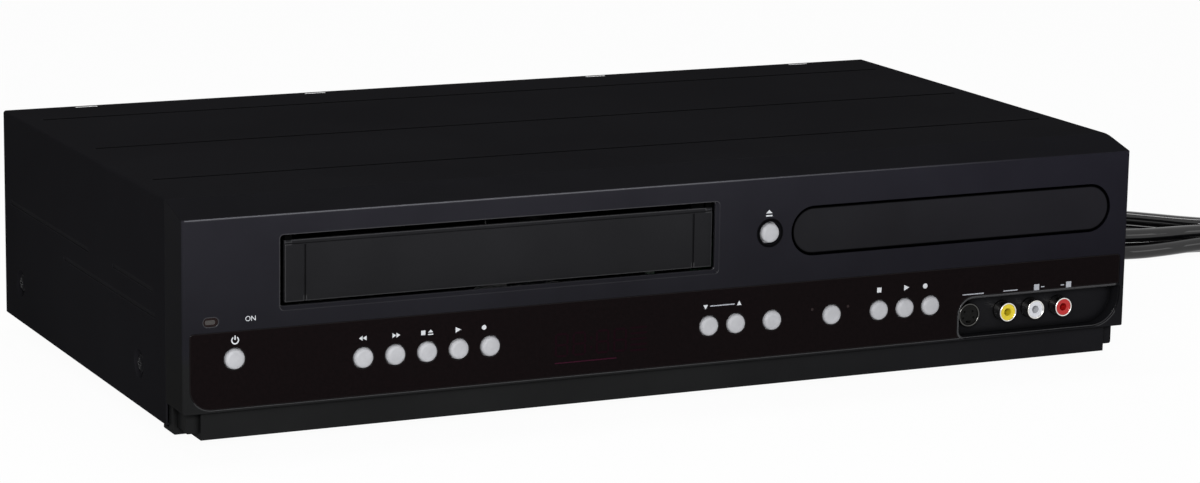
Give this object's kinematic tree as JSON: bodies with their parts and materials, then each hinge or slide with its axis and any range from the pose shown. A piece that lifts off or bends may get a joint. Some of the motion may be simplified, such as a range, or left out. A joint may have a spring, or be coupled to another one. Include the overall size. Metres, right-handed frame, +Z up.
{
  "type": "disc and cassette combination player",
  "caption": "Full-width home video deck with a front cassette door, a motorised disc tray, a smoked display window with push buttons, front jacks and a captive mains cord",
  "frame": {"origin": "On the floor, under the middle of the player without its cord: midway across the width, and midway between the button faces and the rear jacks", "axes": "+X to the right of someone facing the front, +Y from the front to the back, +Z up"},
  "size_m": [0.7078, 0.32, 0.0997],
  "materials": {
    "case_paint": "satin black paint on steel",
    "bezel_plastic": "finely textured black moulded plastic",
    "door_plastic": "finely textured black moulded plastic",
    "smoked_window": "polished smoked acrylic",
    "button_silver": "silver-grey satin paint",
    "lens_plastic": "dark translucent plastic",
    "zinc_steel": "zinc-plated sheet steel",
    "screw_steel": "bright zinc-plated steel",
    "spring_steel": "bright spring wire",
    "foot_rubber": "black moulded rubber",
    "belt_rubber": "black rubber",
    "circuit_board": "green solder-masked board",
    "display_glass": "dark display glass",
    "jack_metal": "nickel-plated barrel",
    "jack_black": "black moulded plastic",
    "jack_yellow": "yellow moulded plastic",
    "jack_white": "white moulded plastic",
    "jack_red": "red moulded plastic",
    "loader_plastic": "dark grey moulded plastic",
    "gear_plastic": "natural acetal",
    "drum_metal": "turned aluminium",
    "shaft_steel": "ground steel",
    "cord_pvc": "black flexible sheath"
  },
  "bodies": {
    "root": {"top_cover": "case_paint", "base_pan": "zinc_steel", "rear_panel": "case_paint", "front_bezel": "bezel_plastic", "display_window": "smoked_window", "feet": "foot_rubber", "cover_screws": "screw_steel", "power_lens": "lens_plastic", "door_spring": "spring_steel", "front_board": "circuit_board", "display_module": "display_glass", "front_jack_block": "jack_black", "jack_shells": "jack_metal", "video_insert": "jack_yellow", "left_insert": "jack_white", "right_insert": "jack_red", "loader_frame": "loader_plastic", "loading_motor": "zinc_steel", "loading_belt": "belt_rubber", "clamp_bridge": "zinc_steel", "deck_plate": "zinc_steel", "lower_drum": "drum_metal", "holder_rails": "zinc_steel", "main_board": "circuit_board", "rear_jacks": "jack_metal", "strain_relief": "cord_pvc", "power_cord": "cord_pvc", "cord_hank": "cord_pvc", "cord_plug": "cord_pvc"},
    "power_button_body": {"power_button": "button_silver"},
    "rewind_button_body": {"rewind_button": "button_silver"},
    "fast_forward_button_body": {"fast_forward_button": "button_silver"},
    "tape_stop_button_body": {"tape_stop_button": "button_silver"},
    "tape_play_button_body": {"tape_play_button": "button_silver"},
    "tape_record_button_body": {"tape_record_button": "button_silver"},
    "tracking_down_button_body": {"tracking_down_button": "button_silver"},
    "tracking_up_button_body": {"tracking_up_button": "button_silver"},
    "dubbing_button_body": {"dubbing_button": "button_silver"},
    "source_button_body": {"source_button": "button_silver"},
    "disc_stop_button_body": {"disc_stop_button": "button_silver"},
    "disc_play_button_body": {"disc_play_button": "button_silver"},
    "disc_record_button_body": {"disc_record_button": "button_silver"},
    "disc_eject_button_body": {"disc_eject_button": "button_silver"},
    "door": {"cassette_door": "door_plastic"},
    "tray": {"disc_tray": "loader_plastic", "tray_front": "door_plastic"},
    "tray_gear_body": {"tray_gear": "gear_plastic"},
    "motor_pulley_body": {"motor_pulley": "gear_plastic"},
    "traverse": {"traverse_frame": "zinc_steel"},
    "spindle": {"turntable": "loader_plastic"},
    "pickup": {"optical_pickup": "loader_plastic"},
    "clamp": {"disc_clamp": "gear_plastic"},
    "head_drum": {"upper_drum": "drum_metal"},
    "capstan_body": {"capstan": "shaft_steel"},
    "pinch_lever": {"pinch_arm": "zinc_steel"},
    "pinch_roller_body": {"pinch_roller": "belt_rubber"},
    "supply_table": {"supply_reel": "loader_plastic"},
    "takeup_table": {"takeup_reel": "loader_plastic"},
    "holder_carriage": {"holder_arms": "zinc_steel"},
    "holder": {"cassette_holder": "zinc_steel"}
  },
  "joints": [
    {"name": "power_button_press", "type": "slide", "parent": "root", "child": "power_button_body", "axis": [0, 1, 0], "range_m": [0, 0.0008], "stiffness_N_per_m": 400, "springref_m": -0.001},
    {"name": "rewind_button_press", "type": "slide", "parent": "root", "child": "rewind_button_body", "axis": [0, 1, 0], "range_m": [0, 0.0008], "stiffness_N_per_m": 400, "springref_m": -0.001},
    {"name": "fast_forward_button_press", "type": "slide", "parent": "root", "child": "fast_forward_button_body", "axis": [0, 1, 0], "range_m": [0, 0.0008], "stiffness_N_per_m": 400, "springref_m": -0.001},
    {"name": "tape_stop_button_press", "type": "slide", "parent": "root", "child": "tape_stop_button_body", "axis": [0, 1, 0], "range_m": [0, 0.0008], "stiffness_N_per_m": 400, "springref_m": -0.001},
    {"name": "tape_play_button_press", "type": "slide", "parent": "root", "child": "tape_play_button_body", "axis": [0, 1, 0], "range_m": [0, 0.0008], "stiffness_N_per_m": 400, "springref_m": -0.001},
    {"name": "tape_record_button_press", "type": "slide", "parent": "root", "child": "tape_record_button_body", "axis": [0, 1, 0], "range_m": [0, 0.0008], "stiffness_N_per_m": 400, "springref_m": -0.001},
    {"name": "tracking_down_button_press", "type": "slide", "parent": "root", "child": "tracking_down_button_body", "axis": [0, 1, 0], "range_m": [0, 0.0008], "stiffness_N_per_m": 400, "springref_m": -0.001},
    {"name": "tracking_up_button_press", "type": "slide", "parent": "root", "child": "tracking_up_button_body", "axis": [0, 1, 0], "range_m": [0, 0.0008], "stiffness_N_per_m": 400, "springref_m": -0.001},
    {"name": "dubbing_button_press", "type": "slide", "parent": "root", "child": "dubbing_button_body", "axis": [0, 1, 0], "range_m": [0, 0.0008], "stiffness_N_per_m": 400, "springref_m": -0.001},
    {"name": "source_button_press", "type": "slide", "parent": "root", "child": "source_button_body", "axis": [0, 1, 0], "range_m": [0, 0.0008], "stiffness_N_per_m": 400, "springref_m": -0.001},
    {"name": "disc_stop_button_press", "type": "slide", "parent": "root", "child": "disc_stop_button_body", "axis": [0, 1, 0], "range_m": [0, 0.0008], "stiffness_N_per_m": 400, "springref_m": -0.001},
    {"name": "disc_play_button_press", "type": "slide", "parent": "root", "child": "disc_play_button_body", "axis": [0, 1, 0], "range_m": [0, 0.0008], "stiffness_N_per_m": 400, "springref_m": -0.001},
    {"name": "disc_record_button_press", "type": "slide", "parent": "root", "child": "disc_record_button_body", "axis": [0, 1, 0], "range_m": [0, 0.0008], "stiffness_N_per_m": 400, "springref_m": -0.001},
    {"name": "disc_eject_button_press", "type": "slide", "parent": "root", "child": "disc_eject_button_body", "axis": [0, 1, 0], "range_m": [0, 0.0008], "stiffness_N_per_m": 400, "springref_m": -0.001},
    {"name": "cassette_door_swing", "type": "hinge", "parent": "root", "child": "door", "pos_m": [-0.07965, -0.11845, 0.086], "axis": [1, 0, 0], "range_deg": [0, 88], "stiffness_Nm_per_rad": 0.004, "springref_deg": -17.19},
    {"name": "tray_slide", "type": "slide", "parent": "root", "child": "tray", "axis": [0, -1, 0], "range_m": [0, 0.14]},
    {"name": "tray_gear_turn", "type": "hinge", "parent": "root", "child": "tray_gear_body", "pos_m": [0.071, -0.09235, 0.061], "axis": [0, 0, -1], "range_deg": [0, 892]},
    {"name": "motor_pulley_turn", "type": "hinge", "parent": "root", "child": "motor_pulley_body", "pos_m": [0.067, -0.05835, 0.057], "axis": [0, 0, -1], "range_deg": [0, 2190]},
    {"name": "traverse_lift", "type": "hinge", "parent": "root", "child": "traverse", "pos_m": [0.1294, 0.04765, 0.0585], "axis": [1, 0, 0], "range_deg": [0, 4.5]},
    {"name": "disc_spin", "type": "hinge", "parent": "traverse", "child": "spindle", "pos_m": [0.1294, -0.03835, 0.065], "axis": [0, 0, 1], "continuous": true},
    {"name": "pickup_travel", "type": "slide", "parent": "traverse", "child": "pickup", "axis": [0, 1, 0], "range_m": [0, 0.0315]},
    {"name": "clamp_spin", "type": "hinge", "parent": "root", "child": "clamp", "pos_m": [0.1294, -0.03835, 0.078], "axis": [0, 0, 1], "continuous": true},
    {"name": "drum_spin", "type": "hinge", "parent": "root", "child": "head_drum", "pos_m": [-0.08075, 0.05965, 0.0312], "axis": [0, 0.0872, 0.9962], "continuous": true},
    {"name": "capstan_spin", "type": "hinge", "parent": "root", "child": "capstan_body", "pos_m": [-0.022, 0.02965, 0.0312], "axis": [0, 0, 1], "continuous": true},
    {"name": "pinch_arm_swing", "type": "hinge", "parent": "root", "child": "pinch_lever", "pos_m": [0.008, 0.05365, 0.0312], "axis": [0, 0, -1], "range_deg": [0, 25]},
    {"name": "pinch_roller_spin", "type": "hinge", "parent": "pinch_lever", "child": "pinch_roller_body", "pos_m": [-0.00109, 0.02297, 0.05], "axis": [0, 0, 1], "continuous": true},
    {"name": "supply_reel_spin", "type": "hinge", "parent": "root", "child": "supply_table", "pos_m": [-0.12825, -0.04235, 0.0312], "axis": [0, 0, 1], "continuous": true},
    {"name": "takeup_reel_spin", "type": "hinge", "parent": "root", "child": "takeup_table", "pos_m": [-0.03325, -0.04235, 0.0312], "axis": [0, 0, 1], "continuous": true},
    {"name": "holder_travel", "type": "slide", "parent": "root", "child": "holder_carriage", "axis": [0, 1, 0], "range_m": [0, 0.034]},
    {"name": "holder_drop", "type": "slide", "parent": "holder_carriage", "child": "holder", "axis": [0, 0, -1], "range_m": [0, 0.022]}
  ],
  "couplings": [
    {"joint": "tray_gear_turn", "follows": "tray_slide", "rad_per_m": 111.11},
    {"joint": "motor_pulley_turn", "follows": "tray_slide", "rad_per_m": 272.4},
    {"joint": "clamp_spin", "follows": "disc_spin", "ratio": 1}
  ]
}
